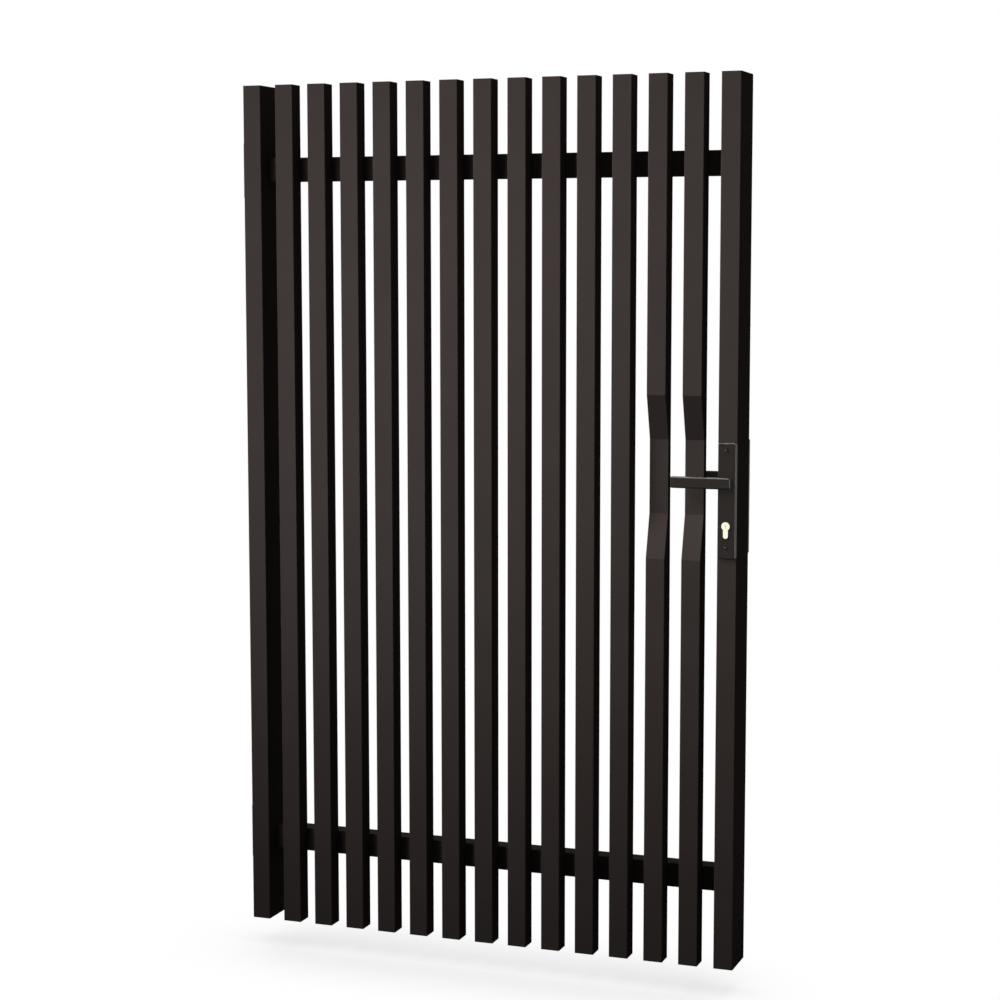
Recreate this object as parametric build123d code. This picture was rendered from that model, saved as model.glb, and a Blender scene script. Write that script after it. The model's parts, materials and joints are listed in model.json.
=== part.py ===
"""Pedestrian gate: one welded steel leaf of upright square tubes, hung on two pin hinges.

Frame: millimetres, +Z up. X = 0 is the face of the post that carries the hinges, +X runs to the lock side,
-Y is the street side, and the origin is the centre of the lower hinge bracket's mounting face.
"""

import math
import os

from build123d import *

# Leaf
LEAF_WIDTH = 1080.0
LEAF_HEIGHT = 1800.0
SLAT_COUNT = 13
UPRIGHT_WIDTH = 40.0
SLAT_DEPTH = 40.0
SLAT_WALL = 1.5
STILE_DEPTH = 94.0
FRAME_WALL = 2.0
TUBE_CORNER = 1.5
CAP_THICK = 3.0

# Rails, seated on the backs of the slats
RAIL_HEIGHT = 50.0
RAIL_DEPTH = 40.0
RAIL_FROM_END = 175.0

# Hand recess pressed into the fronts of the slats beside the lock
RECESSED_SLATS = (12, 13)
RECESS_Z = 1000.0
RECESS_DEPTH = 24.0
RECESS_FLAT = 150.0
RECESS_RAMP = 90.0

# Lock furniture
LOCK_FROM_EDGE = 20.0
LOCK_Z = 994.0
CYLINDER_BELOW_SPINDLE = 86.0
PLATE_FROM_EDGE = 0.5
PLATE_WIDTH = 37.0
PLATE_HEIGHT = 232.0
PLATE_TOP_Z = 1074.0
PLATE_THICK = 11.0
PLATE_EDGE = 3.0
LEVER_REACH = 111.0
LEVER_HEEL = 12.0
LEVER_HEIGHT = 23.0
LEVER_THICK = 11.0
LEVER_GAP = 6.0
LEVER_EDGE = 3.5
NECK_RADIUS = 10.0
JOURNAL_RADIUS = 8.0
SPINDLE_SIDE = 8.0
SPINDLE_SOCKET = 10.0
SPINDLE_HOLE_RADIUS = 11.0
CYLINDER_RADIUS = 8.5
CYLINDER_HEIGHT = 33.0
CYLINDER_STEM = 10.0
CYLINDER_PROUD = 2.0
CYLINDER_CLEARANCE = 0.4
KEYWAY_WIDTH = 1.6
KEYWAY_HEIGHT = 8.0
KEYWAY_DEPTH = 8.0

# Hinges, level with the rails
POST_GAP = 35.0
PIVOT_FROM_STILE = 15.0
PIVOT_FROM_REAR = 7.0
BRACKET_WIDTH = 36.0
BRACKET_HEIGHT = 120.0
BRACKET_THICK = 5.0
BRACKET_CORNER = 5.0
BOLT_SPACING = 90.0
BOLT_HOLE_RADIUS = 4.5
LUG_RADIUS = 10.0
LUG_THICK = 8.0
LUG_TOP = -20.0
BOSS_RADIUS = 9.0
BOSS_HEIGHT = 2.5
KNUCKLE_RADIUS = 10.0
KNUCKLE_HEIGHT = 44.0
KNUCKLE_FOOT = 14.0
PIN_RADIUS = 6.0
PIN_HEAD_RADIUS = 9.0
PIN_HEAD = 5.0
PIN_PROUD = 3.0

# Running clearance, radial
RUNNING = 0.1

# Places in the frame, worked out from the sizes above
HINGE_HEIGHTS = {"lower": 0.0, "upper": LEAF_HEIGHT - 2 * RAIL_FROM_END}
LEFT = POST_GAP
FRONT = PIVOT_FROM_REAR - STILE_DEPTH
REAR = PIVOT_FROM_REAR
BOTTOM = -RAIL_FROM_END
PITCH = (LEAF_WIDTH - UPRIGHT_WIDTH) / (SLAT_COUNT + 1)
PIVOT_X = POST_GAP - PIVOT_FROM_STILE
LOCK_X = LEFT + LEAF_WIDTH - LOCK_FROM_EDGE
SPINDLE_Z = BOTTOM + LOCK_Z
CYLINDER_Z = SPINDLE_Z - CYLINDER_BELOW_SPINDLE
MIDDLE_Y = (FRONT + REAR) / 2
LOW_CORNER = (Align.MIN, Align.MIN, Align.MIN)


def upright_x(index):
    """Left face of an upright: 0 is the hinge stile, then the slats in order."""
    return LEFT + index * PITCH


def box(x, y, z, width, depth, height):
    """A block placed by its low corner."""
    return Pos(x, y, z) * Box(width, depth, height, align=LOW_CORNER)


def rod(radius, length):
    """A round bar standing on the XY plane."""
    return Cylinder(radius, length, align=(Align.CENTER, Align.CENTER, Align.MIN))


def soften_long_edges(solid):
    """Rounds the corners of an upright tube, which all climb in Z."""
    edges = [edge for edge in solid.edges() if abs((edge @ 0).Z - (edge @ 1).Z) > TUBE_CORNER]
    return fillet(edges, TUBE_CORNER)


def upright_tube(x, depth, wall):
    """A straight rectangular tube as tall as the leaf."""
    outer = soften_long_edges(box(x, FRONT, BOTTOM, UPRIGHT_WIDTH, depth, LEAF_HEIGHT))
    bore = box(x + wall, FRONT + wall, BOTTOM, UPRIGHT_WIDTH - 2 * wall, depth - 2 * wall, LEAF_HEIGHT)
    return outer - bore


def recessed_side(inset):
    """Side outline (Y, Z) of a slat with the hand recess, moved in from the outside by a wall."""
    near = FRONT + inset
    deep = near + RECESS_DEPTH
    back = FRONT + SLAT_DEPTH - inset
    top = BOTTOM + LEAF_HEIGHT
    centre = BOTTOM + RECESS_Z
    shift = inset * math.tan(math.atan2(RECESS_DEPTH, RECESS_RAMP) / 2)
    flat = RECESS_FLAT / 2 + shift
    mouth = flat + RECESS_RAMP
    return [
        (near, BOTTOM),
        (near, centre - mouth),
        (deep, centre - flat),
        (deep, centre + flat),
        (near, centre + mouth),
        (near, top),
        (back, top),
        (back, BOTTOM),
    ]


def recessed_prism(x, width, inset):
    """The side outline swept across the slat's width."""
    outline = Polyline(*[(x, y, z) for y, z in recessed_side(inset)], close=True)
    return extrude(make_face(outline), width, dir=(1, 0, 0))


def recessed_slat(x):
    """A tube whose front is set back around the lever."""
    outer = soften_long_edges(recessed_prism(x, UPRIGHT_WIDTH, 0))
    return outer - recessed_prism(x + SLAT_WALL, UPRIGHT_WIDTH - 2 * SLAT_WALL, SLAT_WALL)


def slat(number):
    x = upright_x(number)
    if number in RECESSED_SLATS:
        return recessed_slat(x)
    return upright_tube(x, SLAT_DEPTH, SLAT_WALL)


def end_cap(index, depth, wall, z):
    """A plate let into one end of an upright tube, flush with it."""
    x = upright_x(index) + wall
    return box(x, FRONT + wall, z, UPRIGHT_WIDTH - 2 * wall, depth - 2 * wall, CAP_THICK)


def slat_caps(z):
    return [end_cap(number, SLAT_DEPTH, SLAT_WALL, z) for number in range(1, SLAT_COUNT + 1)]


def stile_caps():
    ends = (BOTTOM, BOTTOM + LEAF_HEIGHT - CAP_THICK)
    stiles = (0, SLAT_COUNT + 1)
    return [end_cap(index, STILE_DEPTH, FRAME_WALL, z) for index in stiles for z in ends]


def rail(centre_z):
    """A tube between the stiles, open where the stiles close its ends."""
    x = LEFT + UPRIGHT_WIDTH
    y = FRONT + SLAT_DEPTH
    z = BOTTOM + centre_z - RAIL_HEIGHT / 2
    length = LEAF_WIDTH - 2 * UPRIGHT_WIDTH
    outer = box(x, y, z, length, RAIL_DEPTH, RAIL_HEIGHT)
    outer = fillet(outer.edges().filter_by(Axis.X), TUBE_CORNER)
    bore_depth = RAIL_DEPTH - 2 * FRAME_WALL
    bore_height = RAIL_HEIGHT - 2 * FRAME_WALL
    return outer - box(x, y + FRAME_WALL, z + FRAME_WALL, length, bore_depth, bore_height)


def across(y, z):
    """Plane on the lock axis that faces the street, so that extrusions run to -Y."""
    return Plane(origin=(LOCK_X, y, z), x_dir=(1, 0, 0), z_dir=(0, -1, 0))


def cylinder_bar(grow, front, rear):
    """Round-headed profile of the lock cylinder, swept from its rear to its front."""
    radius = CYLINDER_RADIUS + grow
    stem_foot = CYLINDER_HEIGHT - CYLINDER_RADIUS - CYLINDER_STEM / 2
    stem_width = CYLINDER_STEM + 2 * grow
    profile = Circle(radius)
    profile += Pos(0, -stem_foot / 2) * Rectangle(stem_width, stem_foot)
    profile += Pos(0, -stem_foot) * Circle(stem_width / 2)
    return extrude(across(rear, CYLINDER_Z) * profile, rear - front)


def lock_cylinder():
    front = FRONT - PLATE_THICK - CYLINDER_PROUD
    rear = REAR + PLATE_THICK + CYLINDER_PROUD
    bar = cylinder_bar(0, front, rear)
    for end in (front, rear):
        keyway = Box(KEYWAY_WIDTH, 2 * KEYWAY_DEPTH, KEYWAY_HEIGHT)
        bar -= Pos(LOCK_X, end, CYLINDER_Z) * keyway
    return bar


def cylinder_opening():
    """Cutter for the cylinder through the stile and both plates."""
    return cylinder_bar(CYLINDER_CLEARANCE, FRONT - 2 * PLATE_THICK, REAR + 2 * PLATE_THICK)


def spindle_bore(radius):
    """Cutter on the spindle's axis through the stile and both plates."""
    front = FRONT - 2 * PLATE_THICK
    rear = REAR + 2 * PLATE_THICK
    return extrude(across(rear, SPINDLE_Z) * Circle(radius), rear - front)


def lock_stile():
    tube = upright_tube(upright_x(SLAT_COUNT + 1), STILE_DEPTH, FRAME_WALL)
    return tube - cylinder_opening() - spindle_bore(SPINDLE_HOLE_RADIUS)


def round_front(solid, radius):
    """Rounds a flat bar's corners and the rim of its street side, with ball corners between them."""
    rim = solid.faces().sort_by(Axis.Y)[0].edges()
    return fillet(rim + solid.edges().filter_by(Axis.Y), radius)


def front_plate():
    """Long cover plate with a rounded rim, bored for the lever's journal and the cylinder."""
    centre_z = BOTTOM + PLATE_TOP_Z - PLATE_HEIGHT / 2
    centre_x = LOCK_FROM_EDGE - PLATE_FROM_EDGE - PLATE_WIDTH / 2
    outline = Pos(centre_x, 0) * Rectangle(PLATE_WIDTH, PLATE_HEIGHT)
    plate = extrude(across(FRONT, centre_z) * outline, PLATE_THICK)
    plate = round_front(plate, PLATE_EDGE)
    return plate - cylinder_opening() - spindle_bore(JOURNAL_RADIUS + RUNNING)


def front_lever():
    """Flat bar handle on a round neck, with a square socket for the spindle."""
    plate_face = FRONT - PLATE_THICK
    bar_back = plate_face - LEVER_GAP
    bar_length = LEVER_REACH + LEVER_HEEL
    bar_centre = (LEVER_HEEL - LEVER_REACH) / 2
    bar = across(bar_back, SPINDLE_Z) * Pos(bar_centre, 0) * Rectangle(bar_length, LEVER_HEIGHT)
    bar = extrude(bar, LEVER_THICK)
    bar = round_front(bar, LEVER_EDGE)
    neck = extrude(across(plate_face - RUNNING, SPINDLE_Z) * Circle(NECK_RADIUS), LEVER_GAP - RUNNING)
    journal = extrude(across(FRONT, SPINDLE_Z) * Circle(JOURNAL_RADIUS), PLATE_THICK + LEVER_GAP)
    socket = extrude(across(FRONT, SPINDLE_Z) * Rectangle(SPINDLE_SIDE, SPINDLE_SIDE), SPINDLE_SOCKET)
    return bar + neck + journal - socket


def spindle():
    length = STILE_DEPTH + 2 * SPINDLE_SOCKET
    square = Rectangle(SPINDLE_SIDE, SPINDLE_SIDE)
    return extrude(across(REAR + SPINDLE_SOCKET, SPINDLE_Z) * square, length)


def to_rear(solid):
    """The same piece on the garden side of the leaf."""
    return mirror(solid, about=Plane.XZ.offset(-MIDDLE_Y))


def hinge_bracket(z):
    """Bolted plate with a rounded lug, and a boss on the lug that bears the knuckle."""
    plate = box(0, -BRACKET_WIDTH / 2, z - BRACKET_HEIGHT / 2, BRACKET_THICK, BRACKET_WIDTH, BRACKET_HEIGHT)
    plate = fillet(plate.edges().filter_by(Axis.X), BRACKET_CORNER)
    lug_z = z + LUG_TOP - LUG_THICK
    arm = box(0, -LUG_RADIUS, lug_z, PIVOT_X, 2 * LUG_RADIUS, LUG_THICK)
    nose = Pos(PIVOT_X, 0, lug_z) * rod(LUG_RADIUS, LUG_THICK)
    boss = Pos(PIVOT_X, 0, lug_z) * rod(BOSS_RADIUS, LUG_THICK + BOSS_HEIGHT)
    bracket = plate + arm + nose + boss
    bracket -= Pos(PIVOT_X, 0, lug_z) * rod(PIN_RADIUS, LUG_THICK + BOSS_HEIGHT)
    for side in (-1, 1):
        hole = Rot(0, 90, 0) * rod(BOLT_HOLE_RADIUS, BRACKET_THICK)
        bracket -= Pos(0, 0, z + side * BOLT_SPACING / 2) * hole
    return bracket


def hinge_knuckle(z):
    """Barrel that turns on the pin, with a foot welded to the stile's edge."""
    base_z = z + LUG_TOP + BOSS_HEIGHT + RUNNING
    barrel = Pos(PIVOT_X, 0, base_z) * rod(KNUCKLE_RADIUS, KNUCKLE_HEIGHT)
    foot = box(PIVOT_X, -KNUCKLE_FOOT / 2, base_z, PIVOT_FROM_STILE, KNUCKLE_FOOT, KNUCKLE_HEIGHT)
    bore = Pos(PIVOT_X, 0, base_z) * rod(PIN_RADIUS + RUNNING, KNUCKLE_HEIGHT)
    return barrel + foot - bore


def hinge_pin(z):
    """Headed pin, pushed up through the lug."""
    lug_foot = z + LUG_TOP - LUG_THICK
    length = LUG_THICK + BOSS_HEIGHT + KNUCKLE_HEIGHT + PIN_PROUD
    shank = Pos(PIVOT_X, 0, lug_foot) * rod(PIN_RADIUS, length)
    return shank + Pos(PIVOT_X, 0, lug_foot - PIN_HEAD) * rod(PIN_HEAD_RADIUS, PIN_HEAD)


def all_pieces():
    """Every node by name, as one solid or a list of solids."""
    pieces = {
        "hinge_stile": upright_tube(upright_x(0), STILE_DEPTH, FRAME_WALL),
        "lock_stile": lock_stile(),
        "bottom_rail": rail(RAIL_FROM_END),
        "top_rail": rail(LEAF_HEIGHT - RAIL_FROM_END),
        "stile_end_caps": stile_caps(),
        "slat_bottom_caps": slat_caps(BOTTOM),
        "slat_top_caps": slat_caps(BOTTOM + LEAF_HEIGHT - CAP_THICK),
        "lock_plate_front": front_plate(),
        "lock_plate_rear": to_rear(front_plate()),
        "lock_cylinder": lock_cylinder(),
        "lever_front": front_lever(),
        "lever_rear": to_rear(front_lever()),
        "lever_spindle": spindle(),
    }
    for number in range(1, SLAT_COUNT + 1):
        pieces[f"slat_{number:02d}"] = slat(number)
    for level, z in HINGE_HEIGHTS.items():
        pieces[f"hinge_bracket_{level}"] = hinge_bracket(z)
        pieces[f"hinge_knuckle_{level}"] = hinge_knuckle(z)
        pieces[f"hinge_pin_{level}"] = hinge_pin(z)
    return pieces


def write_pieces():
    os.makedirs("parts", exist_ok=True)
    for name, piece in all_pieces().items():
        shape = Compound(children=piece) if isinstance(piece, list) else piece
        export_step(shape, f"parts/{name}.step")


write_pieces()
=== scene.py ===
"""Dresses the pedestrian gate with its coats, screws, bolts and welds, on a plain studio stage."""

import json
import math

import bpy
from bpy.props import FloatProperty, FloatVectorProperty, IntProperty, PointerProperty
from mathutils import Matrix, Vector


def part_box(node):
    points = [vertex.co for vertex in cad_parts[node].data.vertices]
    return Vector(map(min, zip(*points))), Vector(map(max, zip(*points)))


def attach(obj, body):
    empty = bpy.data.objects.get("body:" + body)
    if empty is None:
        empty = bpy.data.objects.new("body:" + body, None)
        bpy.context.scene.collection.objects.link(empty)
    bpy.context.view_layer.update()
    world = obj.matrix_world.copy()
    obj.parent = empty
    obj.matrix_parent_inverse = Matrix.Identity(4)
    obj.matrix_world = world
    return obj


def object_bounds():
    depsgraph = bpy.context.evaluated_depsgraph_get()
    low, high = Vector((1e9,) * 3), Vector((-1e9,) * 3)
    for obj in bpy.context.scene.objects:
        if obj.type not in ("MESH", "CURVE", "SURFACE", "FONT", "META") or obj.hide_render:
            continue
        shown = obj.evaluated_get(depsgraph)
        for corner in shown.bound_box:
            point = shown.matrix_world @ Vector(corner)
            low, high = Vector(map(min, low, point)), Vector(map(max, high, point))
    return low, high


bl_info = {
    "name": "Pedestrian gate dressing",
    "version": (1, 0, 0),
    "blender": (4, 5, 0),
    "location": "View3D > Sidebar > Gate",
    "description": "Finishes, fasteners, welds and stage for a slatted pedestrian gate",
    "category": "Object",
}

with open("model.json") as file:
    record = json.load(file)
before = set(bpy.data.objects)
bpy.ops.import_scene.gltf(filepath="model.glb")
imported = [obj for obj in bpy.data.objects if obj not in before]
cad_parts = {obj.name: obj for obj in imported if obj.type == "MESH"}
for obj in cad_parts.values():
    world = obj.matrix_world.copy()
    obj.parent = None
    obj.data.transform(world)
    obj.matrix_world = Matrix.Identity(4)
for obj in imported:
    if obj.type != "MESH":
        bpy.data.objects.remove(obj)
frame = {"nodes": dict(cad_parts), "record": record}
CAD_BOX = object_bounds()

LEAF = "leaf"
BRACKETS = "hinge brackets"
SLAT_NAMES = sorted(name for name in frame["nodes"] if name.startswith("slat_") and name[5:].isdigit())
RAIL_NAMES = ("bottom_rail", "top_rail")
HINGE_LEVELS = ("lower", "upper")
FURNITURE_NAMES = ("lock_plate_front", "lock_plate_rear", "lever_front", "lever_rear")
STREET = Vector((0, -1, 0))
GARDEN = Vector((0, 1, 0))
AWAY_FROM_POST = Vector((1, 0, 0))

# Soft boxes: place, point aimed at, width and height, and angle of the beam
KEY_PLACE = (-1.2, -0.90, 4.5)
KEY_TARGET = (0.556, -0.087, 2.31)
KEY_SIZE = (2.2, 1.62)
KEY_SPREAD = math.radians(23.5)
FILL_PLACE = (-0.445, -1.40, 1.88)
FILL_TARGET = (0.20, -0.087, 0.80)
FILL_SIZE = (1.2, 1.2)
FILL_SPREAD = math.radians(49.6)
REAR_PLACE = (-1.0, 2.6, 1.3)
REAR_SIZE = (2.0, 2.0)

# Strip lights that only show as glints on the lock furniture
SIDE_GLINT_PLACE = (3.9, -1.1, 0.9)
SIDE_GLINT_SIZE = (1.4, 2.6)
TOP_GLINT_PLACE = (0.45, -0.45, 3.4)
TOP_GLINT_SIZE = (2.4, 1.4)

# Sizes in metres that follow the modelled nodes
BRACKET_PLATE = 0.005
KNUCKLE_FOOT_HALF = 0.007
KEYWAY_SIZE = (0.001, 0.0066, 0.01)

# Sides of the round pieces
SCREW_SIDES = 28
PLUG_SIDES = 40
WASHER_SIDES = 36
HEXAGON_SIDES = 6
BEAD_SIDES = 10

# Roundings, as shares of a piece's height
SCREW_RIM = 0.06
PLUG_ROUNDING = 0.6
WASHER_ROUNDING = 0.25
BOLT_ROUNDING = 0.12
SMOOTH_ANGLE = math.radians(35)

# Weld beads: ring and end widths, and shares of the slat's width and of the bead's radius
PINCHED_RING = 0.86
BEAD_END = 0.55
SLAT_SEAM = 0.9
KNUCKLE_BEAD = 0.8
SLAT_BEAD_INSET = 0.4
RAIL_BEAD_INSET = 0.2

# Band of the noise that the finishes use, and the sizes in metres of their slow colour drift
NOISE_LOW = 0.3
NOISE_HIGH = 0.7
COAT_DRIFT = 0.11
METAL_DRIFT = 0.012

# Floor: how dull it is to bounced light, and how far and from what cover its painted shadow reaches; the
# shadow is painted by darkening the floor's glow with ambient occlusion
FLOOR_TONE = (0.1, 0.1, 0.1, 1)
PAINTED_SHADOW_REACH = 0.35
PAINTED_SHADOW_FULL = 0.3
PAINTED_SHADOW_NONE = 0.97

# Camera: width of its frame in millimetres and its farthest view in metres
FRAME_WIDTH = 36
FARTHEST_VIEW = 200


def middle(node):
    """Centre of a CAD node's box."""
    low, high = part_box(node)
    return (low + high) / 2


# Settings that a user would change


class GateFinish(bpy.types.PropertyGroup):
    """Colours and gloss of the gate's surfaces."""

    coat_colour: FloatVectorProperty(
        name="Coat colour",
        description="Powder coat of the frame and slats",
        subtype="COLOR",
        size=3,
        min=0,
        max=1,
        default=(0.0505, 0.0405, 0.0375),
    )
    handle_colour: FloatVectorProperty(
        name="Handle colour",
        description="Satin coat of the plates and levers",
        subtype="COLOR",
        size=3,
        min=0,
        max=1,
        default=(0.0222, 0.0188, 0.0169),
    )
    brass_colour: FloatVectorProperty(
        name="Brass colour",
        description="Pale brass of the lock cylinder",
        subtype="COLOR",
        size=3,
        min=0,
        max=1,
        default=(0.99, 0.95, 0.76),
    )
    steel_colour: FloatVectorProperty(
        name="Steel colour",
        description="Zinc-plated hinge pins and bolts",
        subtype="COLOR",
        size=3,
        min=0,
        max=1,
        default=(0.42, 0.42, 0.43),
    )
    grain_size: FloatProperty(
        name="Coat grain",
        description="Size of the powder coat's fine texture",
        subtype="DISTANCE",
        min=0.0002,
        default=0.0009,
    )


class GateFasteners(bpy.types.PropertyGroup):
    """Sizes of the screws, bolts and plugs."""

    screw_radius: FloatProperty(
        name="Screw radius",
        description="Head radius of a lock plate's screw",
        subtype="DISTANCE",
        default=0.0027,
    )
    screw_height: FloatProperty(
        name="Screw height",
        description="How far a plate screw's head stands out",
        subtype="DISTANCE",
        default=0.0017,
    )
    dish_width: FloatProperty(
        name="Dish width",
        description="Width of the sloped ring in a plate screw's face",
        subtype="DISTANCE",
        default=0.0018,
    )
    dish_depth: FloatProperty(
        name="Dish depth",
        description="Depth of the dish in a plate screw's face",
        subtype="DISTANCE",
        default=0.0016,
    )
    upper_screw_inset: FloatProperty(
        name="Upper screw inset",
        description="Distance of the upper screw from the plate's top",
        subtype="DISTANCE",
        default=0.0136,
    )
    lower_screw_inset: FloatProperty(
        name="Lower screw inset",
        description="Distance of the lower screw from the plate's foot",
        subtype="DISTANCE",
        default=0.0247,
    )
    bolt_flats: FloatProperty(
        name="Bolt flats",
        description="Width across the flats of a bracket bolt",
        subtype="DISTANCE",
        default=0.013,
    )
    bolt_height: FloatProperty(
        name="Bolt height",
        description="Height of a bracket bolt's head",
        subtype="DISTANCE",
        default=0.0053,
    )
    washer_radius: FloatProperty(
        name="Washer radius",
        description="Outer radius of a bracket bolt's washer",
        subtype="DISTANCE",
        default=0.008,
    )
    washer_thickness: FloatProperty(
        name="Washer thickness",
        description="Thickness of a bracket bolt's washer",
        subtype="DISTANCE",
        default=0.0016,
    )
    bolt_spacing: FloatProperty(
        name="Bolt spacing",
        description="Distance between the two bolts of a bracket",
        subtype="DISTANCE",
        default=0.090,
    )
    plug_radius: FloatProperty(
        name="Plug radius",
        description="Radius of the lock cylinder's turning plug",
        subtype="DISTANCE",
        default=0.0064,
    )
    plug_height: FloatProperty(
        name="Plug height",
        description="How far the plug stands out of the cylinder",
        subtype="DISTANCE",
        default=0.0006,
    )


class GateWelds(bpy.types.PropertyGroup):
    """Sizes of the weld beads."""

    bead_radius: FloatProperty(
        name="Bead radius",
        description="Half width of a weld bead",
        subtype="DISTANCE",
        default=0.0026,
    )
    bead_ripples: IntProperty(
        name="Bead ripples",
        description="Rings along one bead, of which every other one is pinched",
        min=5,
        default=23,
    )


class GateStage(bpy.types.PropertyGroup):
    """Camera, floor and lights."""

    camera_place: FloatVectorProperty(
        name="Camera place",
        description="Where the camera stands",
        subtype="TRANSLATION",
        size=3,
        default=(2.2087, -4.3801, 1.2589),
    )
    camera_heading: FloatProperty(
        name="Camera heading",
        description="Turn of the camera to the left of straight ahead",
        subtype="ANGLE",
        default=math.radians(20.387),
    )
    camera_tilt: FloatProperty(
        name="Camera tilt",
        description="Angle of the view below the horizon",
        subtype="ANGLE",
        default=math.radians(6.130),
    )
    camera_roll: FloatProperty(
        name="Camera roll",
        description="Lean of the camera about its line of sight",
        subtype="ANGLE",
        default=math.radians(-0.044),
    )
    camera_lens: FloatProperty(
        name="Camera lens",
        description="Focal length in millimetres on a 36 mm frame",
        default=80.43,
    )
    floor_gap: FloatProperty(
        name="Floor gap",
        description="Room under the hung leaf",
        subtype="DISTANCE",
        default=0.06,
    )
    floor_size: FloatProperty(
        name="Floor size",
        description="Width of the floor",
        subtype="DISTANCE",
        default=3.0,
    )
    # Depth of the painted shadow that ambient occlusion puts on the floor's glow
    painted_floor_shadow: FloatProperty(
        name="Floor shadow",
        description="Brightness of the floor in the deepest shadow",
        default=0.62,
    )
    key_power: FloatProperty(
        name="Key power",
        description="Power of the soft box over the street side",
        subtype="POWER",
        default=30.3,
    )
    fill_power: FloatProperty(
        name="Fill power",
        description="Power of the soft box at chest height on the street side",
        subtype="POWER",
        default=5.4,
    )
    rear_power: FloatProperty(
        name="Rear power",
        description="Power of the soft box on the garden side",
        subtype="POWER",
        default=80.0,
    )
    side_glint_power: FloatProperty(
        name="Side glint power",
        description="Power of the strip light that glints on right-hand rims",
        subtype="POWER",
        default=560.0,
    )
    top_glint_power: FloatProperty(
        name="Top glint power",
        description="Power of the strip light that glints on upper rims",
        subtype="POWER",
        default=740.0,
    )
    ambient: FloatProperty(
        name="Ambient",
        description="Even light from all round",
        default=0.12,
    )


# Finishes


def new_finish(name):
    """A material with its shader, output and object coordinates."""
    material = bpy.data.materials.new(name)
    material.use_nodes = True
    tree = material.node_tree
    shader = tree.nodes["Principled BSDF"]
    coordinates = tree.nodes.new("ShaderNodeTexCoord")
    return material, tree, shader, coordinates.outputs["Object"]


def noise(tree, place, size, detail):
    """Even noise whose features are about the given size in metres."""
    node = tree.nodes.new("ShaderNodeTexNoise")
    node.inputs["Scale"].default_value = 1 / size
    node.inputs["Detail"].default_value = detail
    tree.links.new(place, node.inputs["Vector"])
    return node.outputs["Fac"]


def spread(tree, value, low, high):
    """Noise mapped to a range of a shader's value."""
    node = tree.nodes.new("ShaderNodeMapRange")
    node.inputs["From Min"].default_value = NOISE_LOW
    node.inputs["From Max"].default_value = NOISE_HIGH
    node.inputs["To Min"].default_value = low
    node.inputs["To Max"].default_value = high
    tree.links.new(value, node.inputs["Value"])
    return node.outputs["Result"]


def mottle(tree, value, colour, share):
    """A colour that drifts a little darker and lighter with the noise."""
    node = tree.nodes.new("ShaderNodeValToRGB")
    stops = ((NOISE_LOW, 1 - share), (NOISE_HIGH, 1 + share))
    for stop, (place, shade) in zip(node.color_ramp.elements, stops):
        stop.position = place
        stop.color = (*(channel * shade for channel in colour), 1)
    tree.links.new(value, node.inputs["Fac"])
    return node.outputs["Color"]


def relief(tree, height, shader, strength, depth):
    """Bump of a real depth in metres."""
    node = tree.nodes.new("ShaderNodeBump")
    node.inputs["Strength"].default_value = strength
    node.inputs["Distance"].default_value = depth
    tree.links.new(height, node.inputs["Height"])
    tree.links.new(node.outputs["Normal"], shader.inputs["Normal"])


def coated(name, colour, grain, roughness, specular, drift):
    """Powder coat: fine orange peel, with a slight drift of colour and gloss."""
    material, tree, shader, place = new_finish(name)
    shader.inputs["Specular IOR Level"].default_value = specular
    slow = noise(tree, place, COAT_DRIFT, 2)
    fine = noise(tree, place, grain, 3)
    tree.links.new(mottle(tree, slow, colour, drift), shader.inputs["Base Color"])
    tree.links.new(spread(tree, fine, roughness - 0.06, roughness + 0.06), shader.inputs["Roughness"])
    relief(tree, fine, shader, 0.25, grain / 12)
    return material


def gate_coating(finish):
    """Matt coat of the frame and slats."""
    return coated(
        "gate_coating", finish.coat_colour, finish.grain_size, roughness=0.72, specular=0.0, drift=0.035
    )


def handle_coating(finish):
    """Satin coat of the plates and levers."""
    grain = finish.grain_size / 2
    return coated(
        "handle_coating", finish.handle_colour, grain, roughness=0.36, specular=0.06, drift=0.03
    )


def turned_metal(name, colour, roughness, lines):
    """Bare metal with fine tool lines."""
    material, tree, shader, place = new_finish(name)
    shader.inputs["Metallic"].default_value = 1
    slow = noise(tree, place, METAL_DRIFT, 2)
    fine = noise(tree, place, lines, 4)
    tree.links.new(mottle(tree, slow, colour, 0.03), shader.inputs["Base Color"])
    tree.links.new(spread(tree, fine, roughness - 0.05, roughness + 0.05), shader.inputs["Roughness"])
    relief(tree, fine, shader, 0.15, lines / 20)
    return material


def cylinder_brass(finish):
    """Polished brass of the lock cylinder."""
    return turned_metal("cylinder_brass", finish.brass_colour, roughness=0.18, lines=0.0006)


def bright_steel(finish):
    """Zinc-plated steel of the pins and bolts."""
    return turned_metal("bright_steel", finish.steel_colour, roughness=0.42, lines=0.0008)


FINISHES = {
    "gate_coating": gate_coating,
    "handle_coating": handle_coating,
    "cylinder_brass": cylinder_brass,
    "bright_steel": bright_steel,
}


def finish_material(slot):
    """The material of a record slot, made the first time that it is asked for."""
    found = bpy.data.materials.get(f"{slot}_finish")
    if found is None:
        found = FINISHES[slot](bpy.context.scene.gate_finish)
        found.name = f"{slot}_finish"
    return found


# Modelling helpers


def leave_edit_mode():
    """Back to object mode, whatever the mode was."""
    if bpy.context.object is not None and bpy.context.object.mode != "OBJECT":
        bpy.ops.object.mode_set(mode="OBJECT")


def deselect_all():
    """Leaves nothing selected, so that an operator acts on one piece only."""
    leave_edit_mode()
    bpy.ops.object.select_all(action="DESELECT")


def add_round(radius, height, sides, z=0.0):
    """A round bar that stands on z, as the start of a turned piece."""
    deselect_all()
    bpy.ops.mesh.primitive_cylinder_add(
        vertices=sides, radius=radius, depth=height, location=(0, 0, z + height / 2)
    )
    bpy.ops.object.transform_apply(location=True, rotation=True, scale=True)
    return bpy.context.object


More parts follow.
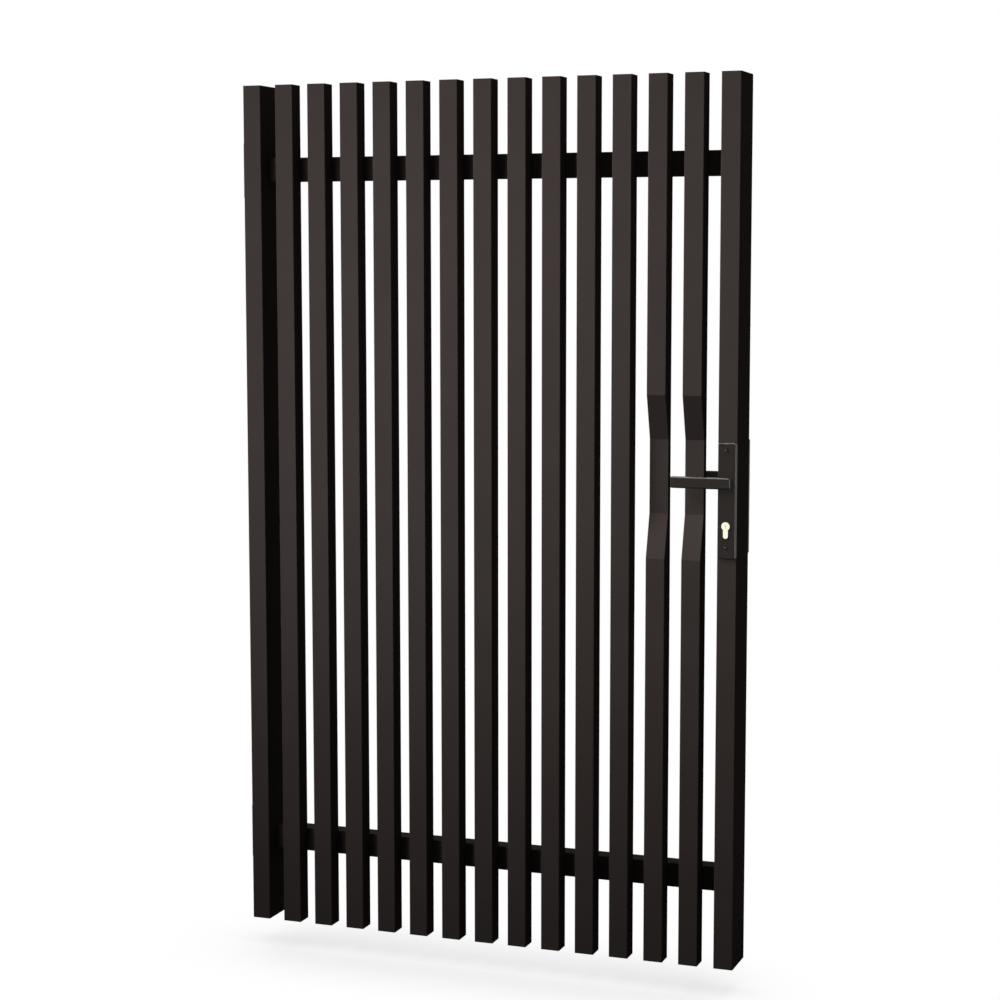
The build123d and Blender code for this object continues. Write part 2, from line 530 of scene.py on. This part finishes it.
def edit_faces(piece, wanted):
    """Enters edit mode with just the wanted faces selected."""
    deselect_all()
    piece.select_set(True)
    bpy.context.view_layer.objects.active = piece
    bpy.ops.object.mode_set(mode="EDIT")
    bpy.ops.mesh.select_mode(type="FACE")
    bpy.ops.mesh.select_all(action="DESELECT")
    bpy.ops.object.mode_set(mode="OBJECT")
    for face in piece.data.polygons:
        face.select = wanted(face)
    bpy.ops.object.mode_set(mode="EDIT")


def edit_top(piece):
    """Enters edit mode with just the flat top face selected."""
    top = max(vertex.co.z for vertex in piece.data.vertices)
    edit_faces(piece, lambda face: face.normal.z > 0.999 and abs(face.center.z - top) < 1e-6)


def bevel_top(piece, offset, segments):
    """Rounds the rim of the top face."""
    edit_top(piece)
    bpy.ops.mesh.bevel(offset=offset, segments=segments, affect="EDGES")
    leave_edit_mode()


def cut(piece, tool):
    """Takes the tool out of the piece and removes the tool."""
    deselect_all()
    piece.select_set(True)
    bpy.context.view_layer.objects.active = piece
    bpy.ops.object.modifier_add(type="BOOLEAN")
    modifier = piece.modifiers[-1]
    modifier.operation = "DIFFERENCE"
    modifier.solver = "EXACT"
    modifier.object = tool
    bpy.ops.object.modifier_apply(modifier=modifier.name)
    bpy.data.objects.remove(tool)


def join(first, *others):
    """One piece from several, under the first one's name."""
    deselect_all()
    for piece in (first, *others):
        piece.select_set(True)
    bpy.context.view_layer.objects.active = first
    bpy.ops.object.join()
    return first


def copies(pattern, places, name):
    """One piece from copies of a pattern, each with its own mesh, after which the pattern goes."""
    made = []
    for place in places:
        piece = pattern.copy()
        piece.data = pattern.data.copy()
        piece.data.transform(place)
        bpy.context.collection.objects.link(piece)
        made.append(piece)
    bpy.data.objects.remove(pattern)
    piece = join(*made) if len(made) > 1 else made[0]
    piece.name = name
    return piece


def hand_over(piece, body, slot):
    """Shades a finished piece, gives it its finish and lets it ride on its body."""
    deselect_all()
    piece.select_set(True)
    bpy.context.view_layer.objects.active = piece
    bpy.ops.object.shade_smooth_by_angle(angle=SMOOTH_ANGLE)
    piece.data.materials.clear()
    piece.data.materials.append(finish_material(slot))
    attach(piece, body)


def facing(direction, place):
    """Turns a piece's +Z to a direction and moves it to a place."""
    return Matrix.Translation(place) @ direction.to_track_quat("Z", "Y").to_matrix().to_4x4()


# Operators, one for each group of pieces


class GATE_OT_finish_nodes(bpy.types.Operator):
    """Gives every modelled node the finish of its material slot"""

    bl_idname = "gate.finish_nodes"
    bl_label = "Finish the frame and furniture"

    def execute(self, context):
        for row in frame["record"]["subparts"]:
            node = frame["nodes"][row["node"]]
            for slot in node.material_slots:
                slot.material = finish_material(row["material_slot"])
        return {"FINISHED"}


class GATE_OT_plate_screws(bpy.types.Operator):
    """Adds the low dished screws that hold the lock plates"""

    bl_idname = "gate.plate_screws"
    bl_label = "Plate screws"

    def execute(self, context):
        sizes = context.scene.gate_fasteners
        for side, direction in (("front", STREET), ("rear", GARDEN)):
            head = self.sunk_head(sizes)
            low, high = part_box(f"lock_plate_{side}")
            face_y = low.y if side == "front" else high.y
            x = middle("lock_cylinder").x
            heights = (low.z + sizes.lower_screw_inset, high.z - sizes.upper_screw_inset)
            places = [facing(direction, Vector((x, face_y, z))) for z in heights]
            hand_over(copies(head, places, f"plate_screws_{side}"), LEAF, "handle_coating")
        return {"FINISHED"}

    def sunk_head(self, sizes):
        """A low round head with a sloped dish in its face."""
        rim = sizes.screw_height * SCREW_RIM
        head = add_round(sizes.screw_radius, sizes.screw_height, SCREW_SIDES)
        bevel_top(head, rim, 2)
        edit_top(head)
        bpy.ops.mesh.inset(thickness=rim)
        bpy.ops.mesh.inset(thickness=sizes.dish_width, depth=-sizes.dish_depth)
        leave_edit_mode()
        return head


class GATE_OT_cylinder_plugs(bpy.types.Operator):
    """Adds the turning plug with its keyway to each face of the lock cylinder"""

    bl_idname = "gate.cylinder_plugs"
    bl_label = "Cylinder plugs"

    def execute(self, context):
        sizes = context.scene.gate_fasteners
        low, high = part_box("lock_cylinder")
        x = (low.x + high.x) / 2
        z = high.z - (high.x - low.x) / 2
        for side, direction, y in (("front", STREET, low.y), ("rear", GARDEN, high.y)):
            plug = add_round(sizes.plug_radius, sizes.plug_height, PLUG_SIDES)
            bevel_top(plug, sizes.plug_height * PLUG_ROUNDING, 2)
            deselect_all()
            bpy.ops.mesh.primitive_cube_add(size=1)
            keyway = bpy.context.object
            bpy.ops.transform.resize(value=KEYWAY_SIZE)
            cut(plug, keyway)
            place = facing(direction, Vector((x, y, z)))
            hand_over(copies(plug, [place], f"cylinder_plug_{side}"), LEAF, "cylinder_brass")
        return {"FINISHED"}


class GATE_OT_bracket_bolts(bpy.types.Operator):
    """Adds the hexagon bolts and washers that fix the hinge brackets to a post"""

    bl_idname = "gate.bracket_bolts"
    bl_label = "Bracket bolts"

    def execute(self, context):
        sizes = context.scene.gate_fasteners
        for level in HINGE_LEVELS:
            washer = add_round(sizes.washer_radius, sizes.washer_thickness, WASHER_SIDES)
            bevel_top(washer, sizes.washer_thickness * WASHER_ROUNDING, 2)
            corner_radius = sizes.bolt_flats / math.sqrt(3)
            head = add_round(corner_radius, sizes.bolt_height, HEXAGON_SIDES, sizes.washer_thickness)
            bevel_top(head, sizes.bolt_height * BOLT_ROUNDING, 2)
            bolt = join(head, washer)
            low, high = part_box(f"hinge_bracket_{level}")
            centre = (low + high) / 2
            plate_face = low.x + BRACKET_PLATE
            half = sizes.bolt_spacing / 2
            heights = (centre.z - half, centre.z + half)
            places = [facing(AWAY_FROM_POST, Vector((plate_face, centre.y, z))) for z in heights]
            hand_over(copies(bolt, places, f"bracket_bolts_{level}"), BRACKETS, "bright_steel")
        return {"FINISHED"}


def bead_pattern(length, radius, rings):
    """A rippled weld bead along X, centred on the origin."""
    bead = add_round(radius, length, BEAD_SIDES, -length / 2)
    edit_faces(bead, lambda face: abs(face.normal.z) < 0.5)
    bpy.ops.mesh.select_mode(type="EDGE")
    bpy.ops.mesh.select_all(action="DESELECT")
    bpy.ops.object.mode_set(mode="OBJECT")
    for edge in bead.data.edges:
        low, high = (bead.data.vertices[i].co.z for i in edge.vertices)
        edge.select = abs(high - low) > radius
    bpy.ops.object.mode_set(mode="EDIT")
    bpy.ops.mesh.subdivide(number_cuts=rings)
    leave_edit_mode()
    pitch = length / (rings + 1)
    pinch_rings(bead, lambda z: round((z + length / 2) / pitch) % 2 == 0, PINCHED_RING)
    pinch_rings(bead, lambda z: abs(z) > length / 2 - pitch / 2, BEAD_END)
    bead.data.transform(Matrix.Rotation(math.radians(90), 4, "Y"))
    return bead


def pinch_rings(bead, wanted, scale):
    """Draws the chosen rings of a bead in towards its axis."""
    edit_faces(bead, lambda face: False)
    bpy.ops.mesh.select_mode(type="VERT")
    bpy.ops.object.mode_set(mode="OBJECT")
    for vertex in bead.data.vertices:
        vertex.select = wanted(vertex.co.z)
    bpy.ops.object.mode_set(mode="EDIT")
    bpy.ops.transform.resize(value=(scale, scale, 1), center_override=(0, 0, 0))
    leave_edit_mode()


class GATE_OT_weld_beads(bpy.types.Operator):
    """Adds the weld beads behind the slats, at the rail ends and beside the hinge knuckles"""

    bl_idname = "gate.weld_beads"
    bl_label = "Weld beads"

    def execute(self, context):
        sizes = context.scene.gate_welds
        slat_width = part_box(SLAT_NAMES[0])[1].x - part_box(SLAT_NAMES[0])[0].x
        radius = sizes.bead_radius
        seam = bead_pattern(slat_width * SLAT_SEAM, radius, sizes.bead_ripples)
        hand_over(copies(seam, self.slat_places(radius), "weld_beads_slats"), LEAF, "gate_coating")
        end = bead_pattern(slat_width, radius, sizes.bead_ripples)
        hand_over(copies(end, self.rail_places(radius), "weld_beads_rails"), LEAF, "gate_coating")
        foot = bead_pattern(slat_width, radius * KNUCKLE_BEAD, sizes.bead_ripples)
        hand_over(copies(foot, self.knuckle_places(), "weld_beads_knuckles"), LEAF, "gate_coating")
        return {"FINISHED"}

    def slat_places(self, radius):
        """Seams along X where each slat crosses the top and bottom of a rail."""
        places = []
        for rail in RAIL_NAMES:
            low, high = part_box(rail)
            for slat in SLAT_NAMES:
                x = middle(slat).x
                y = low.y + radius * SLAT_BEAD_INSET
                places.append(Matrix.Translation((x, y, high.z)))
                places.append(Matrix.Translation((x, y, low.z)))
        return places

    def rail_places(self, radius):
        """Seams around the back three sides of each rail's ends."""
        along_y = Matrix.Rotation(math.radians(90), 4, "Z")
        along_z = Matrix.Rotation(math.radians(90), 4, "Y")
        places = []
        for rail in RAIL_NAMES:
            low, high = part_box(rail)
            centre = (low + high) / 2
            inset = radius * RAIL_BEAD_INSET
            for x in (low.x + inset, high.x - inset):
                places.append(Matrix.Translation((x, centre.y, high.z)) @ along_y)
                places.append(Matrix.Translation((x, centre.y, low.z)) @ along_y)
                places.append(Matrix.Translation((x, high.y, centre.z)) @ along_z)
        return places

    def knuckle_places(self):
        """Seams on both sides of each knuckle's foot."""
        along_z = Matrix.Rotation(math.radians(90), 4, "Y")
        stile_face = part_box("hinge_stile")[0].x
        places = []
        for level in HINGE_LEVELS:
            centre = middle(f"hinge_knuckle_{level}")
            for y in (-KNUCKLE_FOOT_HALF, KNUCKLE_FOOT_HALF):
                places.append(Matrix.Translation((stile_face, centre.y + y, centre.z)) @ along_z)
        return places


# Stage


def larger_of(tree, first, second):
    """The larger of two values."""
    node = tree.nodes.new("ShaderNodeMath")
    node.operation = "MAXIMUM"
    tree.links.new(first, node.inputs[0])
    tree.links.new(second, node.inputs[1])
    return node.outputs["Value"]


def eased(tree, value, start, stop, low, high):
    """A value that eases from low to high between two stops."""
    node = tree.nodes.new("ShaderNodeMapRange")
    node.interpolation_type = "SMOOTHSTEP"
    node.inputs["From Min"].default_value = start
    node.inputs["From Max"].default_value = stop
    node.inputs["To Min"].default_value = low
    node.inputs["To Max"].default_value = high
    tree.links.new(value, node.inputs["Value"])
    return node.outputs["Result"]


def studio_world(ambient):
    """White behind the object and in its reflections, with a low even light on it."""
    world = bpy.data.worlds.new("studio")
    world.use_nodes = True
    bpy.context.scene.world = world
    tree = world.node_tree
    light = tree.nodes["Background"]
    light.inputs["Color"].default_value = (1, 1, 1, 1)
    light.inputs["Strength"].default_value = ambient
    white = tree.nodes.new("ShaderNodeBackground")
    white.inputs["Color"].default_value = (1, 1, 1, 1)
    path = tree.nodes.new("ShaderNodeLightPath")
    seen = larger_of(tree, path.outputs["Is Camera Ray"], path.outputs["Is Transmission Ray"])
    mix = tree.nodes.new("ShaderNodeMixShader")
    tree.links.new(larger_of(tree, seen, path.outputs["Is Glossy Ray"]), mix.inputs["Fac"])
    tree.links.new(light.outputs["Background"], mix.inputs[1])
    tree.links.new(white.outputs["Background"], mix.inputs[2])
    tree.links.new(mix.outputs["Shader"], tree.nodes["World Output"].inputs["Surface"])


def floor_finish(shadow):
    """White floor that glows for camera, glossy and transmission rays, with a painted shadow under the
    object where ambient occlusion dims its glow, and which throws little light back up.
    """
    material = bpy.data.materials.new("studio_floor")
    material.use_nodes = True
    tree = material.node_tree
    tree.nodes.remove(tree.nodes["Principled BSDF"])
    dull = tree.nodes.new("ShaderNodeBsdfDiffuse")
    dull.inputs["Color"].default_value = FLOOR_TONE
    cover = tree.nodes.new("ShaderNodeAmbientOcclusion")
    cover.inputs["Distance"].default_value = PAINTED_SHADOW_REACH
    white = tree.nodes.new("ShaderNodeEmission")
    # Painted shadow: the floor's glow is dimmed where ambient occlusion finds the object close
    painted_shadow_glow = eased(tree, cover.outputs["AO"], PAINTED_SHADOW_FULL, PAINTED_SHADOW_NONE, shadow, 1)
    tree.links.new(painted_shadow_glow, white.inputs["Strength"])
    path = tree.nodes.new("ShaderNodeLightPath")
    seen = larger_of(tree, path.outputs["Is Camera Ray"], path.outputs["Is Transmission Ray"])
    mix = tree.nodes.new("ShaderNodeMixShader")
    tree.links.new(larger_of(tree, seen, path.outputs["Is Glossy Ray"]), mix.inputs["Fac"])
    tree.links.new(dull.outputs["BSDF"], mix.inputs[1])
    tree.links.new(white.outputs["Emission"], mix.inputs[2])
    tree.links.new(mix.outputs["Shader"], tree.nodes["Material Output"].inputs["Surface"])
    return material


def soft_box(name, place, target, size, power, beam=math.pi):
    """A rectangular lamp aimed at a point."""
    deselect_all()
    bpy.ops.object.light_add(type="AREA", location=place)
    lamp = bpy.context.object
    lamp.name = name
    lamp.data.shape = "RECTANGLE"
    lamp.data.size, lamp.data.size_y = size
    lamp.data.energy = power
    lamp.data.spread = beam
    lamp.rotation_euler = (Vector(target) - Vector(place)).to_track_quat("-Z", "Y").to_euler()
    return lamp


def shine_on(lamp, pieces):
    """Keeps a lamp to the given pieces, where it shows as a reflection only."""
    lit = bpy.data.collections.new(f"{lamp.name}_lights")
    for piece in pieces:
        lit.objects.link(piece)
    lamp.light_linking.receiver_collection = lit
    lamp.visible_diffuse = False


def pass_through(lamp, names):
    """Lets a lamp shine past the named nodes without a cast shadow."""
    passed = bpy.data.collections.new(f"{lamp.name}_passes")
    for name in names:
        passed.objects.link(frame["nodes"][name])
    lamp.light_linking.blocker_collection = passed
    for entry in passed.collection_objects:
        entry.light_linking.link_state = "EXCLUDE"


class GATE_OT_stage(bpy.types.Operator):
    """Builds the floor, lights and camera"""

    bl_idname = "gate.stage"
    bl_label = "Stage"

    def execute(self, context):
        stage = context.scene.gate_stage
        low, high = CAD_BOX
        centre = (low + high) / 2
        context.scene.view_settings.view_transform = "Standard"
        studio_world(stage.ambient)
        self.lay_floor(stage, low.z)
        key = soft_box("key_light", KEY_PLACE, KEY_TARGET, KEY_SIZE, stage.key_power, KEY_SPREAD)
        pass_through(key, ("lock_plate_front", "lever_front"))
        soft_box("fill_light", FILL_PLACE, FILL_TARGET, FILL_SIZE, stage.fill_power, FILL_SPREAD)
        soft_box("rear_light", REAR_PLACE, centre, REAR_SIZE, stage.rear_power)
        lock = middle("lock_plate_front")
        side = soft_box("side_glint", SIDE_GLINT_PLACE, lock, SIDE_GLINT_SIZE, stage.side_glint_power)
        top = soft_box("top_glint", TOP_GLINT_PLACE, lock, TOP_GLINT_SIZE, stage.top_glint_power)
        furniture = [frame["nodes"][name] for name in FURNITURE_NAMES]
        furniture += [bpy.data.objects[name] for name in ("plate_screws_front", "plate_screws_rear")]
        for glint in (side, top):
            shine_on(glint, furniture)
        self.place_camera(context, stage)
        return {"FINISHED"}

    def lay_floor(self, stage, lowest):
        """A white floor a little below the hung leaf."""
        deselect_all()
        below = (middle("bottom_rail").x, 0, lowest - stage.floor_gap)
        bpy.ops.mesh.primitive_plane_add(size=stage.floor_size, location=below)
        floor = bpy.context.object
        floor.name = "studio_floor"
        floor.data.materials.append(floor_finish(stage.painted_floor_shadow))

    def place_camera(self, context, stage):
        """A camera turned by its heading, then its tilt, then its roll."""
        deselect_all()
        heading = Matrix.Rotation(stage.camera_heading, 3, "Z")
        tilt = Matrix.Rotation(math.pi / 2 - stage.camera_tilt, 3, "X")
        roll = Matrix.Rotation(stage.camera_roll, 3, "Z")
        bpy.ops.object.camera_add(location=stage.camera_place, rotation=(heading @ tilt @ roll).to_euler())
        camera = context.object
        camera.data.sensor_width = FRAME_WIDTH
        camera.data.lens = stage.camera_lens
        camera.data.clip_end = FARTHEST_VIEW
        context.scene.camera = camera


class GATE_PT_panel(bpy.types.Panel):
    """Lists the settings and the steps of the dressing"""

    bl_idname = "GATE_PT_panel"
    bl_label = "Pedestrian gate"
    bl_space_type = "VIEW_3D"
    bl_region_type = "UI"
    bl_category = "Gate"

    def draw(self, context):
        for settings in SETTINGS:
            box = self.layout.box()
            group = getattr(context.scene, settings)
            for name in group.bl_rna.properties.keys():
                if name not in ("rna_type", "name"):
                    box.prop(group, name)
        for step in STEPS:
            self.layout.operator(step.bl_idname)


SETTINGS = {
    "gate_finish": GateFinish,
    "gate_fasteners": GateFasteners,
    "gate_welds": GateWelds,
    "gate_stage": GateStage,
}
STEPS = (
    GATE_OT_finish_nodes,
    GATE_OT_plate_screws,
    GATE_OT_cylinder_plugs,
    GATE_OT_bracket_bolts,
    GATE_OT_weld_beads,
    GATE_OT_stage,
)


def register():
    for kind in (*SETTINGS.values(), *STEPS, GATE_PT_panel):
        bpy.utils.register_class(kind)
    for name, kind in SETTINGS.items():
        setattr(bpy.types.Scene, name, PointerProperty(type=kind))


def unregister():
    for name in SETTINGS:
        delattr(bpy.types.Scene, name)
    for kind in (GATE_PT_panel, *reversed(STEPS), *reversed(tuple(SETTINGS.values()))):
        bpy.utils.unregister_class(kind)


def main():
    register()
    bpy.ops.gate.finish_nodes()
    bpy.ops.gate.plate_screws()
    bpy.ops.gate.cylinder_plugs()
    bpy.ops.gate.bracket_bolts()
    bpy.ops.gate.weld_beads()
    bpy.ops.gate.stage()


if __name__ == "__main__":
    main()
